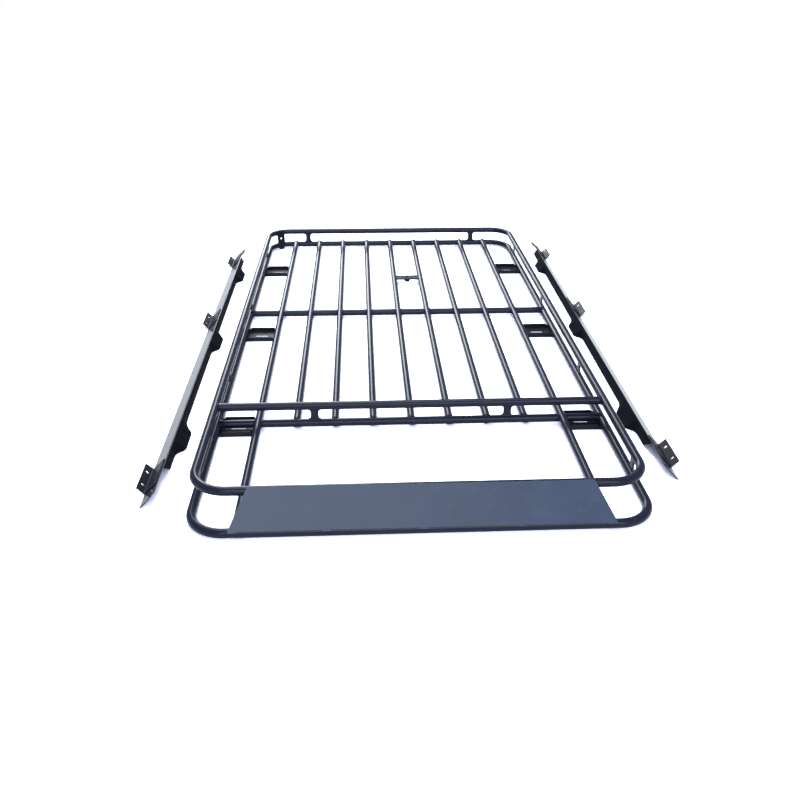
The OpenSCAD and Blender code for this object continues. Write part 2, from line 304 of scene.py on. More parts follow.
def swept_tube(path, radius, sides=8, closed=True, guide=(0.13, 0.21, 0.97)):
    """A round section carried along a path.

    Each section's points are path + radius * (cos(a) * side + sin(a) * up),
    where side and up are square to the path's own direction there.
    """
    path = np.asarray(path, float)
    if closed:
        along = np.roll(path, -1, 0) - np.roll(path, 1, 0)
    else:
        along = np.gradient(path, axis=0)
    along /= np.linalg.norm(along, axis=1, keepdims=True)
    side = np.cross(along, np.broadcast_to(guide, along.shape))
    side /= np.linalg.norm(side, axis=1, keepdims=True)
    up = np.cross(side, along)
    turn = np.linspace(0, 2 * np.pi, sides, endpoint=False)[None, :, None]
    radius = np.broadcast_to(radius, len(path))[:, None, None]
    points = path[:, None] + radius * (np.cos(turn) * side[:, None] + np.sin(turn) * up[:, None])
    if closed:
        faces = grid_faces(len(path), sides, wrap_rows=True, wrap_columns=True)
        return outward(points.reshape(-1, 3), faces)
    return capped(points)


def shell(outer, inner):
    """Closes two skins on the same grid with a rim round their four sides."""
    rows, columns = outer.shape[:2]
    count = rows * columns
    verts = np.vstack([outer.reshape(-1, 3), inner.reshape(-1, 3)])
    front = grid_faces(rows, columns)
    back = [[count + k for k in face[::-1]] for face in front]
    index = np.arange(count).reshape(rows, columns)
    border = np.concatenate([index[0], index[1:, -1], index[-1, -2::-1], index[-2:0:-1, 0]])
    after = np.roll(border, -1)
    rim = np.stack([border, after, after + count, border + count], -1).tolist()
    return outward(verts, front + back + rim)


def blob(centre, size, rows=9, sides=12):
    """An ellipsoid: centre + size * (sin u cos v, sin u sin v, cos u)."""
    u = np.linspace(0.02, np.pi - 0.02, rows)[:, None]
    v = np.linspace(0, 2 * np.pi, sides, endpoint=False)[None, :]
    unit = np.stack(np.broadcast_arrays(
        np.sin(u) * np.cos(v), np.sin(u) * np.sin(v), np.cos(u),
    ), -1)
    return capped(np.array(centre) + np.array(size) * unit)


# tubes and bars
def ring_path(front, rear, z):
    """The centre line of one ring: four straights joined by quarter bends."""
    inner_x, bends = SIDE_X - BEND_R, []
    corners = ((1, rear, 0), (-1, rear, 90), (-1, front, 180), (1, front, 270))
    for side, y, start in corners:
        turn = np.radians(np.linspace(start, start + 90, 25))
        centre_y = y - BEND_R if y > 0 else y + BEND_R
        bends.append(np.stack([
            side * inner_x + BEND_R * np.cos(turn),
            centre_y + BEND_R * np.sin(turn),
            np.full(turn.shape, z),
        ], 1))
    path = []
    for bend, following in zip(bends, bends[1:] + bends[:1]):
        share = np.linspace(0, 1, 14)[1:-1, None]
        path += [bend, bend[-1] * (1 - share) + following[0] * share]
    return np.vstack(path)


def tube_end(z, tube_at, tube_z, tube_r, stop, way):
    """How far along a bar runs at height z, coped against the tube it meets.

    way is 1 where the tube lies ahead and -1 where it lies behind. The skin of
    the tube is tube_at - way * sqrt(R^2 - (z - tube z)^2), and above or below
    the tube the bar runs on to its stop.
    """
    drop = tube_r**2 - (z - tube_z) ** 2
    skin = tube_at - way * np.sqrt(np.maximum(drop, 0))
    nearer = np.minimum(way * skin, way * stop) * way
    return np.where(drop > 0, nearer, stop)


def end_loops(across, height, radius, ends, count=40):
    """Where the skin of a straight bar stops at each end, as (across, along, z)."""
    turn = np.linspace(0, 2 * np.pi, count, endpoint=False)
    z = height + radius * np.cos(turn)
    return [
        np.stack([across + radius * np.sin(turn), tube_end(z, *end), z], 1) for end in ends
    ]


def straight_bar(loops, rows=24):
    """The skin between a bar's two end loops, in even steps."""
    share = np.linspace(0, 1, rows)[:, None, None]
    return capped(loops[0][None] * (1 - share) + loops[1][None] * share)


def along_x(loops):
    """Turns loops of a bar along Y into those of a bar along X."""
    return [loop[:, [1, 0, 2]] for loop in loops]


def long_bar_loops(i):
    """End loops of one long floor bar, numbered from 0 at the left."""
    rear = (REAR_Y, RING_Z, RING_R, BAR_REAR, 1)
    if i in (0, 8):
        front = (FRONT_Y, RING_Z, RING_R, FRONT_Y + REAR_Y - BAR_REAR, -1)
    else:
        front = (CROSS_Y, CROSS_Z, CROSS_R, span(f"long_bar_{i + 1}")[0][1], -1)
    return end_loops(BAR_X[i], BAR_Z, BAR_R, (front, rear))


def crossbar_loops(y, z, tube_z):
    """End loops of a crossbar fitted between the side tubes of a ring."""
    ends = [(way * SIDE_X, tube_z, RING_R, way * CROSS_END, way) for way in (-1, 1)]
    return along_x(end_loops(y, z, CROSS_R, ends))


POST_WAIST, POST_FLARE = 0.66, 0.004


def post_plate(node):
    """A small upright plate, straight in its middle and flared towards its ends.

    Half of its width is half * (w + (1 - w) * (exp(-low / f) + exp(-high / f))),
    where w is the waist, f the flare, and low and high the distances from its ends.
    """
    low, high = span(node)
    middle, half = (low + high) / 2, (high - low) / 2
    z = np.linspace(low[2], high[2], 30)
    flare = np.exp((low[2] - z) / POST_FLARE) + np.exp((z - high[2]) / POST_FLARE)
    wide = half[0] * (POST_WAIST + (1 - POST_WAIST) * flare)
    corner = np.array([[-1, -1], [1, -1], [1, 1], [-1, 1]])
    points = np.stack([
        middle[0] + corner[None, :, 0] * wide[:, None],
        np.broadcast_to(middle[1] + corner[None, :, 1] * half[1], (30, 4)),
        np.broadcast_to(z[:, None], (30, 4)),
    ], -1)
    return capped(points)


# the side rails
def lay_rail(side, points):
    """Turns a rail's points by its toe angle and moves them to where it lies."""
    toe = RAIL_TOE[side]
    x = points[..., 0] * math.cos(toe) + points[..., 1] * math.sin(toe) + RAIL_X[side]
    y = points[..., 1] * math.cos(toe) - points[..., 0] * math.sin(toe) + RAIL_SHIFT[side]
    return np.stack([side * x, y, points[..., 2]], -1)


def fold_arc(radius, start, stop, count):
    """Points of the fold, radius * (cos a, sin a) about its centre."""
    a = np.radians(np.linspace(start, stop, count))
    return np.stack([radius * np.cos(a), FOLD_Z + radius * np.sin(a)], 1)


# a rail's ends seen from above: arcs, how far back each one shapes the face,
# and how far the tail runs on at its outer edge, inward and up
TIP_R, TIP_X = 0.045, 0.038
TAIL_R, TAIL_X = 0.046, 0.014
END_REACH = 0.12
TAIL_ON, TAIL_ON_X = 0.036, 0.03
TAIL_IN, TAIL_UP, TAIL_RISE = 0.011, 0.004, 0.03


def rail_face(side):
    """The sloping outer face, from the floor up and over half of the fold.

    Its front tip and its tail are arcs seen from above, y = end -+ R +- sqrt(R^2 -
    (x - middle)^2), so each line of the face has its own first and last place
    along Y, and the rows crowd together towards them. Behind the leg the top of
    the face spreads inward and up by a smooth step b^2 * (3 - 2 b).
    """
    climb = np.linspace(0, 1, 10)[:-1, None]
    rows = np.linspace(RAIL_FRONT, RAIL_REAR, 150)[None, :]
    blade = np.clip((rows - LEG_REAR - TAIL_RISE) / TAIL_RISE, 0, 1)
    blade = blade**2 * (3 - 2 * blade)
    skins = []
    for radius, foot_x in ((FOLD_R, FACE_X), (FOLD_R - SHEET, FACE_IN_X)):
        arc = fold_arc(radius, 45, 97, 9)
        floor = np.array([[foot_x, 0.0]])
        skins.append(np.vstack([floor + (arc[:1] - floor) * climb, arc]))
    x = skins[0][:, 0]
    front = RAIL_FRONT + TIP_R - np.sqrt(TIP_R**2 - np.minimum(x - TIP_X, 0) ** 2)
    rear = RAIL_REAR - TAIL_R + np.sqrt(TAIL_R**2 - (x - TAIL_X) ** 2)
    rear = rear + TAIL_ON * np.clip(x / TAIL_ON_X, 0, 1)
    near_front = np.clip(1 - (rows - RAIL_FRONT) / END_REACH, 0, 1)
    near_rear = np.clip(1 - (RAIL_REAR - rows) / END_REACH, 0, 1)
    y = rows + (front - RAIL_FRONT)[:, None] * near_front
    y = y - (RAIL_REAR - rear)[:, None] * near_rear
    over = np.concatenate([np.zeros(9), np.linspace(0.2, 1, 9)])[:, None]
    grids = [
        np.stack([
            skin[:, :1] - TAIL_IN * blade * over, y, skin[:, 1:] + TAIL_UP * blade * over,
        ], -1)
        for skin in skins
    ]
    return shell(*(lay_rail(side, grid) for grid in grids))


# how far a foot splays inward, against the distance from its middle
SPLAY_AT = (-0.088, -0.078, -0.070, -0.064, -0.058, -0.051, -0.045, -0.038,
            0.036, 0.045, 0.053, 0.062, 0.072, 0.084, 0.097, 0.112)
SPLAY = (0.001, 0.0016, 0.0034, 0.0075, 0.0135, 0.0205, 0.0243, 0.0255,
         0.0255, 0.0248, 0.0226, 0.0180, 0.0122, 0.0066, 0.0026, 0.001)
RIB_AT = (0.028, -0.004)
RIB_RISE, RIB_WIDTH = 0.0015, 0.002
RIB_TOP, RIB_RUN = 0.18, 0.68
CUT_REACH = 0.09
LEG_LIFT = 0.004
# how far round each foot and each rib the rows of points stand closer
FOOT_FORE, FOOT_AFT, FOOT_STEP = 0.1, 0.12, 0.003
RIB_REACH, RIB_STEP = 0.006, 0.0007


def rail_leg(side):
    """The inner half of the sheet: fold, leg, and feet pressed out of the leg.

    At a share t of the way down, a skin's point is its top + t * (-splay, -drop),
    moved out square to the leg by rise * exp(-(dy / width)^2) at each rib. Both
    ends are cut on a slant, and between the feet the leg stops short of the floor.
    """
    rows = [np.linspace(LEG_FRONT, LEG_REAR, 160)]
    for foot in FOOT_Y:
        rows.append(np.arange(foot - FOOT_FORE, foot + FOOT_AFT, FOOT_STEP))
        for rib in RIB_AT:
            rows.append(np.arange(foot + rib - RIB_REACH, foot + rib + RIB_REACH, RIB_STEP))
    rows = np.unique(np.round(np.concatenate(rows), 4))[None, :]
    down = np.concatenate([np.zeros(10), np.linspace(0, 1, 13)[1:]])[:, None]
    y = rows + LEG_SLANT * down * (
        np.clip(1 - (rows - LEG_FRONT) / CUT_REACH, 0, 1)
        + np.clip(1 - (LEG_REAR - rows) / CUT_REACH, 0, 1)
    )
    splay = np.zeros(y.shape) + SPLAY[0]
    rib = np.zeros(y.shape)
    window = np.sin(np.pi * np.clip((down - RIB_TOP) / RIB_RUN, 0, 1))
    window = np.clip(window, 0, 1) ** 0.5
    for foot in FOOT_Y:
        splay = np.maximum(splay, np.interp(y - foot, SPLAY_AT, SPLAY))
        for place in RIB_AT:
            rib = rib + RIB_RISE * np.exp(-(((y - foot - place) / RIB_WIDTH) ** 2)) * window
    low = LEG_LIFT * np.clip(1 - (splay - SPLAY[0]) / (max(SPLAY) - SPLAY[0]), 0, 1)
    drop = FOLD_Z - low
    slope = np.hypot(splay, drop)
    grids = []
    for radius in (FOLD_R, FOLD_R - SHEET):
        arc = np.vstack([fold_arc(radius, 97, 180, 10), np.tile([[-radius, FOLD_Z]], (12, 1))])
        x = arc[:, :1] - down * splay - rib * drop / slope
        z = arc[:, 1:] - down * drop + rib * splay / slope
        grids.append(lay_rail(side, np.stack([x, y, z], -1)))
    return shell(*grids)


def tab_frame(side, i, points):
    """Places points given square to a tab: out from the face, along, up the face."""
    half = math.sqrt(0.5)
    x = FACE_X + (points[..., 0] - points[..., 2]) * half
    z = (points[..., 0] + points[..., 2]) * half
    return lay_rail(side, np.stack([x, points[..., 1] + TAB_Y[i], z], -1))


def tab_corner(side, i):
    """The hollow fillet inside a tab's fold, a quarter circle drawn out along it."""
    a = np.radians(np.linspace(180, 270, 7))
    size, out, up, sunk, share = 0.003, 0.00275, 0.0055, 0.0005, 0.995
    section = np.vstack([
        [[out - sunk, up - sunk]],
        np.stack([out + size * (1 + np.cos(a)), up + size * (1 + np.sin(a))], 1)[::-1],
    ])
    run = np.linspace(-TAB_HALF[i], TAB_HALF[i], 3)[:, None] * share
    points = np.stack([
        np.broadcast_to(section[:, 0], (3, len(section))),
        np.broadcast_to(run, (3, len(section))),
        np.broadcast_to(section[:, 1], (3, len(section))),
    ], -1)
    return capped(tab_frame(side, i, points))


# weld beads
RIPPLE_PITCH, RIPPLE_DEPTH = 0.0035, 0.13
# depth and run of each slow sine, and how fast its start moves with the seed
SWELLS = ((0.12, 0.0061, 1.0), (0.08, 0.0033, 2.1))
HEADROOM = 1.4


def bead(path, size, seed, closed=True):
    """A weld bead: a round section with a ripple along the path and slow swelling.

    Its radius is size * (1 + depth * sin(2 pi run / pitch) + two slow sines). It
    keeps a headroom, a share of its size, below the top of the solid model.
    """
    path = np.array(path, float)
    path[:, 2] = np.minimum(path[:, 2], CAD_BOX[1][2] - HEADROOM * size)
    run = np.cumsum(np.linalg.norm(np.diff(path, axis=0, prepend=path[:1]), axis=1))
    swell = sum(tall * np.sin(run / long + shift * seed) for tall, long, shift in SWELLS)
    ripple = RIPPLE_DEPTH * np.sin(2 * np.pi * run / RIPPLE_PITCH)
    radius = size * (1 + ripple + swell)
    if not closed:
        taper = np.minimum(run, run[-1] - run) / size
        radius = radius * np.sqrt(np.clip(0.15 + taper, 0, 1))
    return swept_tube(path, radius, closed=closed)


def over_joint(x, y, count=56):
    """Where a long bar lies over a crossbar.

    The bar's skin is x + r sin(t), z + r cos(t); the crossbar's skin at that
    height is y plus or minus sqrt(R^2 - (z - crossbar z)^2).
    """
    start = math.acos((CROSS_Z + CROSS_R - BAR_Z) / BAR_R)
    t = np.linspace(start, 2 * np.pi - start, count // 2)
    xs, zs = x + BAR_R * np.sin(t), BAR_Z + BAR_R * np.cos(t)
    reach = np.sqrt(np.maximum(CROSS_R**2 - (zs - CROSS_Z) ** 2, 0))
    front = np.stack([xs, y - reach, zs], 1)
    rear = np.stack([xs, y + reach, zs], 1)[::-1]
    return np.vstack([front, rear[1:-1]])


def foot_loop(centre, half_x, half_y, tube_z, tube_r, way, across):
    """Round the end of a post plate that stands on a tube, or hangs from it.

    The loop is a rectangle seen from above, and its height is
    tube z + way * sqrt(R^2 - d^2), where d is the distance across the tube.
    """
    share = np.linspace(0, 1, 12, endpoint=False)[:, None]
    corners = np.array([[-1, -1], [1, -1], [1, 1], [-1, 1], [-1, -1]], float) * (half_x, half_y)
    flat = np.vstack([a * (1 - share) + b * share for a, b in zip(corners, corners[1:])])
    d = flat[:, across]
    z = tube_z + way * np.sqrt(tube_r**2 - d**2)
    return np.column_stack([centre[0] + flat[:, 0], centre[1] + flat[:, 1], z])


def line(start, stop, count=14):
    """Even points from one place to another."""
    share = np.linspace(0, 1, count)[:, None]
    return np.array(start) * (1 - share) + np.array(stop) * share


# where the beads run: each joint is a path, the bead's share of the full size,
# and whether the path closes
def bar_joints():
    """The ends of the bars, and where the long bars lie over the crossbars."""
    for i, x in enumerate(BAR_X):
        for loop, scale in zip(long_bar_loops(i), (0.45, 0.95)):
            yield loop, scale, True
        yield over_joint(x, MID_Y), 1.15, True
        if i in (0, 8):
            yield over_joint(x, CROSS_Y), 1.1, True
    for _, y, z, tube_z in CROSSBARS:
        for loop in crossbar_loops(y, z, tube_z):
            yield loop, 1.1, True


def post_joints():
    """The two ends of every post, on crossbars at the front and on rings elsewhere."""
    for part in frame["record"]["subparts"]:
        node = part["node"]
        if not node.startswith("post_"):
            continue
        low, high = span(node)
        half = (high - low) / 2
        across = 1 if half[0] > half[1] else 0
        tubes = ((RING_Z, RING_R), (UPPER_Z, RING_R))
        if node.startswith("post_front"):
            tubes = ((CROSS_Z, CROSS_R), (UPPER_CROSS_Z, CROSS_R))
        for (tube_z, tube_r), way in zip(tubes, (1, -1)):
            centre = (low + high) / 2
            yield foot_loop(centre, half[0], half[1], tube_z, tube_r, way, across), 0.8, True


def pad_joints():
    """Arcs under the side tube and the outer long bar, at both edges of each pad."""
    skins = ((SIDE_X, RING_Z, RING_R, 255), (BAR_X[8], BAR_Z, BAR_R, 128))
    for name, side in (("left", -1), ("right", 1)):
        for place in ("rear", "middle", "front"):
            low, high = span(f"pad_{name}_{place}")
            for y in (low[1], high[1]):
                for x, z, radius, stop in skins:
                    a = np.radians(np.linspace(180, stop, 14))
                    across, up = side * (x + radius * np.sin(a)), z + radius * np.cos(a)
                    yield np.stack([across, np.full(14, y), up], 1), 0.7, False


def tab_joints():
    """Up one side of a tab's upper leaf, along its top and down the other side."""
    out, low, top = 0.0012, 0.008, 0.0485
    for side in (-1, 1):
        for i, half in enumerate(TAB_HALF):
            border = np.vstack([
                line((out, -half, low), (out, -half, top)),
                line((out, -half, top), (out, half, top), 40)[1:-1],
                line((out, half, top), (out, half, low)),
            ])
            yield tab_frame(side, i, border), 0.75, False


def fairing_joints():
    """Short stitches over the fairing's lower and upper edges.

    along is measured up the slope from the lower front tube to the upper one,
    lift square to it, and places are shares of the reach to each side.
    """
    rise, depth = UPPER_Z - RING_Z, UPPER_FRONT_Y - FRONT_Y
    slope, run = math.atan2(rise, depth), math.hypot(rise, depth)
    corner_x = span("wind_fairing")[1][0]
    lift, half_stitch = 0.0125, 0.011
    for along, reach, places in (
        (-0.0028, corner_x, (-0.975, -0.5, 0.0, 0.5, 0.975)),
        (run + 0.0042, corner_x - 0.041, (-0.97, -0.66, -0.33, 0.0, 0.33, 0.66, 0.97)),
    ):
        y = FRONT_Y + along * math.cos(slope) - lift * math.sin(slope)
        z = RING_Z + along * math.sin(slope) + lift * math.cos(slope)
        for place in places:
            middle = place * reach
            yield line((middle - half_stitch, y, z), (middle + half_stitch, y, z)), 0.75, False


def weld_drops():
    """Lumps of weld under and over the front crossbar at the inner long bars."""
    drops = []
    for i, x in enumerate(BAR_X[1:-1]):
        drift, wide = 0.004 * math.sin(2.3 * i + 0.4), 0.0095 + 0.0025 * math.cos(1.7 * i)
        centre = (x + drift, CROSS_Y - 0.84 * CROSS_R, CROSS_Z - 0.54 * CROSS_R)
        drops.append(blob(centre, (wide, 0.0028, 0.003)))
        top = BAR_Z + BAR_R - 0.0044
        drops.append(blob((x, CROSS_Y + 0.006, top), (0.0092, 0.009, 0.0044)))
    return drops


def strap_thread():
    """The rim of the strap's hole, and a thread down its wall as a helix.

    A point of the helix is hole_r * (cos a, sin a), pitch * a / 2 pi up.
    """
    rim_r, rim_wire = 0.0064, 0.0007
    pitch, hole_r, wire, inset, steps = 0.00175, 0.006, 0.00062, 0.001, 24
    low, high = span("accessory_strap")
    x, y = (low[0] + high[0]) / 2, (low[1] + high[1]) / 2
    turn = np.linspace(0, 2 * np.pi, 48, endpoint=False)
    rim = [x + rim_r * np.cos(turn), y + rim_r * np.sin(turn), np.full(48, high[2])]
    count = int((high[2] - low[2] - 2 * inset) / pitch * steps)
    turn = np.arange(count) * 2 * np.pi / steps
    up = low[2] + inset + pitch * turn / (2 * np.pi)
    helix = [x + hole_r * np.cos(turn), y + hole_r * np.sin(turn), up]
    return [
        swept_tube(np.stack(rim, 1), rim_wire),
        swept_tube(np.stack(helix, 1), wire, 6, closed=False, guide=(0, 0, 1)),
    ]


def strap_beads(size):
    """A bead along each side of the strap, where it meets a long bar."""
    gap, inset = 0.0006, 0.002
    low, high = span("accessory_strap")
    beads = []
    for k, side in enumerate((-1, 1)):
        edge = (low[0] + high[0]) / 2 + side * ((high[0] - low[0]) / 2 + gap)
        path = line((edge, low[1] + inset, high[2]), (edge, high[1] - inset, high[2]), 40)
        beads.append(bead(path, size * 0.8, k, False))
    return beads


def bracket_beads(size):
    """Upright beads at both edges of the corner bracket, on the lower and upper bend."""
    reach, half_width = 0.0752, 0.0183
    turn = math.radians(33)
    out = np.array([-math.sin(turn), math.cos(turn), 0])
    tangent = np.array([math.cos(turn), math.sin(turn), 0])
    corner = np.array([BEND_R - SIDE_X, REAR_Y - BEND_R, 0])
    heights = ((RING_Z - 0.008, RING_Z + 0.008), (UPPER_Z - 0.01, UPPER_Z - 0.001))
    edges = [(side, *pair) for pair in heights for side in (-1, 1)]
    beads = []
    for k, (side, bottom, top) in enumerate(edges):
        base = corner + reach * out + side * half_width * tangent
        path = line(base + (0, 0, bottom), base + (0, 0, top))
        beads.append(bead(path, size * 1.1, k, False))
    return beads


# coatings
def coat(name, colour, rough, level, grain, peel, haze):
    """Satin powder coat.

    Slow noise shifts its tone, smears, rubbed patches and specks of dust lighten
    it towards the haze, and an orange-peel grain of some micrometres breaks up
    the shine. grain is its cells to the metre and peel its depth.
    """
    shade = Shade(name, colour)
    tone = shade.noise(6.0, 4.0, 0.6)
    smear = shade.noise(31.0, 5.0, 0.65).step(0.52, 0.8)
    speck = shade.noise(520.0, 2.0, 0.6).step(0.66, 0.76)
    patches = shade.noise(3.3, 3.0, 0.7).step(0.55, 0.75)
    rubbed = patches * shade.noise(150.0, 3.0, 0.7).step(0.5, 0.7)
    darker, paler = tuple(0.86 * c for c in colour), tuple(1.2 * c for c in colour)
    body = shade.mix(tone.step(0.3, 0.72), darker, paler)
    veil = smear * 0.2 + speck * 0.35 + rubbed * 0.16
    shade.set(
        Base_Color=shade.mix(veil, body, haze),
        Roughness=rough + smear * 0.12 + rubbed * 0.08 + (tone - 0.5) * 0.06,
        Metallic=0.0,
        Specular_IOR_Level=level,
    )
    shade.bump(shade.noise(grain, 2.0, 0.5), 1.0, peel)
    return shade


def fairing_coat(props):
    """The fairing's coat, greyer towards its left end with a painted sheen of a lamp on the left.
    """
    shade = coat(
        "fairing_coat", tuple(props.fairing_colour), rough=0.42, level=0.3, grain=700.0,
        peel=0.00003, haze=(0.12, 0.15, 0.2),
    )
    x = shade.node("ShaderNodeSeparateXYZ", None, shade.place())
    socket = shade.surface.inputs["Base Color"]
    coat_colour = Field(shade, socket.links[0].from_socket)
    # drift is the share of painted sheen, which rises towards the left end
    drift = (x * -1.1 + (shade.noise(2.2, 3.0, 0.5) - 0.5) * 0.3 + 0.5).step(0.0, 1.0)
    shade.fill(socket, shade.mix(drift, coat_colour, tuple(props.fairing_left_sheen)))


# floor, light and camera
FLOOR = ((-9, -9, 0), (9, -9, 0), (9, 6, 0), (-9, 6, 0))
LAMP_COLOUR = (0.92, 0.95, 1.0)
# name, place, aim, width, height, watts
LAMPS = (
    ("back_window", (-1.1, 6.0, 3.6), (0.0, 0.0, 0.4), 2.4, 5.4, 330.0),
    ("front_fill", (0.6, -6.5, 4.0), (0.0, 0.0, 0.0), 6.0, 4.0, 330.0),
    ("overhead", (-0.3, 0.8, 5.5), (0.0, 0.0, 0.0), 3.0, 4.4, 210.0),
)
# the camera fitted to the tube edges: place in metres, turns in radians
CAMERA_PLACE = (-0.13879, -2.64649, 1.20025)
CAMERA_PITCH, CAMERA_YAW, CAMERA_ROLL = 0.49838, 0.05138, 0.006
CAMERA_LENS = CAMERA_SENSOR = 36.0


def facing(place, target):
    """The pose of a lamp at a place whose light falls towards a target."""
    back = np.array(place, float) - np.array(target, float)
    back /= np.linalg.norm(back)
    right = np.cross((0.0, 0.001, 1.0), back)
    right /= np.linalg.norm(right)
    return pose_of(right, np.cross(back, right), back, place)


def camera_pose():
    """Looks along a direction turned by yaw and tipped down by pitch, then rolls."""
    ahead = np.array([
        math.sin(CAMERA_YAW) * math.cos(CAMERA_PITCH),
        math.cos(CAMERA_YAW) * math.cos(CAMERA_PITCH),
        -math.sin(CAMERA_PITCH),
    ])
    flat = np.array([math.cos(CAMERA_YAW), -math.sin(CAMERA_YAW), 0.0])
    top = np.cross(flat, ahead)
    right = math.cos(CAMERA_ROLL) * flat + math.sin(CAMERA_ROLL) * top
    up = -math.sin(CAMERA_ROLL) * flat + math.cos(CAMERA_ROLL) * top
    return pose_of(right, up, -ahead, CAMERA_PLACE)


def pose_of(right, up, back, place):
    """A matrix from three directions square to each other, and a place."""
    pose = Matrix(np.stack([right, up, back], 1).tolist()).to_4x4()
    pose.translation = place
    return pose


def floor_paint():
    """White floor, brighter to the camera than to other rays.

    The camera sees three diffuse layers added up, so the floor clips to white
    and only deep shade shows.
    """
    shade = Shade("floor", (0.9, 0.9, 0.9))
    shade.set(Base_Color=(0.88, 0.89, 0.93), Roughness=0.8, Specular_IOR_Level=0.1)
    seen = shade.node("ShaderNodeLightPath")
    layers = [shade.node("ShaderNodeBsdfDiffuse", None, (0.64, 0.655, 0.8)) for _ in range(3)]
    bright = layers[0]
    for layer in layers[1:]:
        bright = shade.node("ShaderNodeAddShader", None, bright, layer)
    shown = shade.node("ShaderNodeMixShader", None, seen, shade.principled, bright)
    shade.fill(shade.out.inputs["Surface"], shown)
    return shade.material


def studio_world():
    """An even, faintly blue light from all round, plain white to the camera."""
    world = bpy.data.worlds.new("studio")
    world.use_nodes = True
    nodes = Nodes(world.node_tree)
    seen = nodes.node("ShaderNodeLightPath")
    sky = nodes.node("ShaderNodeBackground", None, (0.8, 0.86, 1.0), 0.4)
    white = nodes.node("ShaderNodeBackground", None, (1.0, 1.0, 1.0), 1.0)
    shown = nodes.node("ShaderNodeMixShader", None, seen, sky, white)
    nodes.node("ShaderNodeOutputWorld", None, shown)
    return world


class BasketProps(bpy.types.PropertyGroup):
    """Colours and sizes of the basket's finish."""

    tube_colour: bpy.props.FloatVectorProperty(
        name="Tube coat", description="Colour of the tubes' powder coat",
        subtype="COLOR", default=(0.012, 0.0138, 0.031), min=0, max=1,
    )
    bracket_colour: bpy.props.FloatVectorProperty(
        name="Bracket coat", description="Colour of pads, tabs and bracket",
        subtype="COLOR", default=(0.011, 0.012, 0.019), min=0, max=1,
    )
    fairing_colour: bpy.props.FloatVectorProperty(
        name="Fairing coat", description="Colour of the wind fairing at its right end",
        subtype="COLOR", default=(0.045, 0.064, 0.112), min=0, max=1,
    )
    # painted sheen: the left end's colour stands in for the reflection of a lamp on the left
    fairing_left_sheen: bpy.props.FloatVectorProperty(
        name="Painted fairing sheen", description="Colour of the wind fairing at its left end",
        subtype="COLOR", default=(0.082, 0.1, 0.137), min=0, max=1,
    )
    rail_colour: bpy.props.FloatVectorProperty(
        name="Rail coat", description="Colour of the side rails",
        subtype="COLOR", default=(0.011, 0.0125, 0.021), min=0, max=1,
    )
    bead_size: bpy.props.FloatProperty(
        name="Weld bead", description="Radius of a weld bead",
        subtype="DISTANCE", unit="LENGTH", default=0.0024, min=0.001, max=0.004,
    )


class ROOFBASKET_OT_coats(bpy.types.Operator):
    """Makes the powder coats and gives every solid its own"""

    bl_idname = "roofbasket.coats"
    bl_label = "Powder coats"

    def execute(self, context):
        props = context.scene.roof_basket
        coat(
            "tube_coat", tuple(props.tube_colour), rough=0.21, level=0.2, grain=800.0,
            peel=0.000006, haze=(0.05, 0.052, 0.08),
        )
        coat(
            "bracket_coat", tuple(props.bracket_colour), rough=0.42, level=0.16, grain=700.0,
            peel=0.00001, haze=(0.04, 0.042, 0.055),
        )
        coat(
            "rail_coat", tuple(props.rail_colour), rough=0.15, level=0.58, grain=480.0,
            peel=0.000007, haze=(0.07, 0.072, 0.1),
        )
        # painted shade: the legs wear a darker, duller copy of the rail coat; the real rail has
        # one coat
        inner = tuple(0.45 * c for c in props.rail_colour)
        coat(
            "rail_leg_shade_coat", inner, rough=0.8, level=0.05, grain=480.0,
            peel=0.00002, haze=(0.03, 0.032, 0.045),
        )
        fairing_coat(props)
        for part in frame["record"]["subparts"]:
            mesh = NODES[part["node"]].data
            mesh.materials.clear()
            mesh.materials.append(COATS[part["material_slot"]])
            mesh.polygons.foreach_set("use_smooth", np.zeros(len(mesh.polygons), bool))
        return {"FINISHED"}


class ROOFBASKET_OT_rings(bpy.types.Operator):
    """Sweeps the two bent-tube rings"""

    bl_idname = "roofbasket.rings"
    bl_label = "Tube rings"

    def execute(self, context):
        rings = (("lower_ring", FRONT_Y, RING_Z), ("upper_ring", UPPER_FRONT_Y, UPPER_Z))
        for node, front, z in rings:
            tube = swept_tube(ring_path(front, REAR_Y, z), RING_R, 40, guide=(0, 0, 1))
            make_piece(f"{node}_tube", tube, "tube_coat", (node,))
        return {"FINISHED"}


class ROOFBASKET_OT_bars(bpy.types.Operator):
    """Makes the long bars and the crossbars, their ends coped to the tubes"""

    bl_idname = "roofbasket.bars"
    bl_label = "Floor bars"

    def execute(self, context):
        for i in range(9):
            node = f"long_bar_{i + 1}"
            make_piece(f"{node}_tube", straight_bar(long_bar_loops(i)), "tube_coat", (node,))
        for node, y, z, tube_z in CROSSBARS:
            loops = crossbar_loops(y, z, tube_z)
            make_piece(f"{node}_tube", straight_bar(loops), "tube_coat", (node,))
        for node in ("post_rear_left", "post_rear_right", "post_front_left", "post_front_right"):
            make_piece(f"{node}_plate", post_plate(node), "tube_coat", (node,))
        return {"FINISHED"}


class ROOFBASKET_OT_rails(bpy.types.Operator):
    """Folds the two side rails with their pressed feet, and fillets the tabs"""

    bl_idname = "roofbasket.rails"
    bl_label = "Side rails"

    def execute(self, context):
        for name, side in (("left", -1), ("right", 1)):
            make_piece(
                f"rail_{name}_face", rail_face(side), "rail_coat", (f"rail_{name}",), crease=50.0,
            )
            # the leg wears the painted-shade copy of the rail coat
            make_piece(
                f"rail_{name}_leg", rail_leg(side), "rail_leg_shade_coat", crease=50.0,
                slot="rail_coat",
            )
            corners = merge([tab_corner(side, i) for i in range(3)])
            make_piece(f"rail_{name}_tab_folds", corners, "bracket_coat")
        return {"FINISHED"}


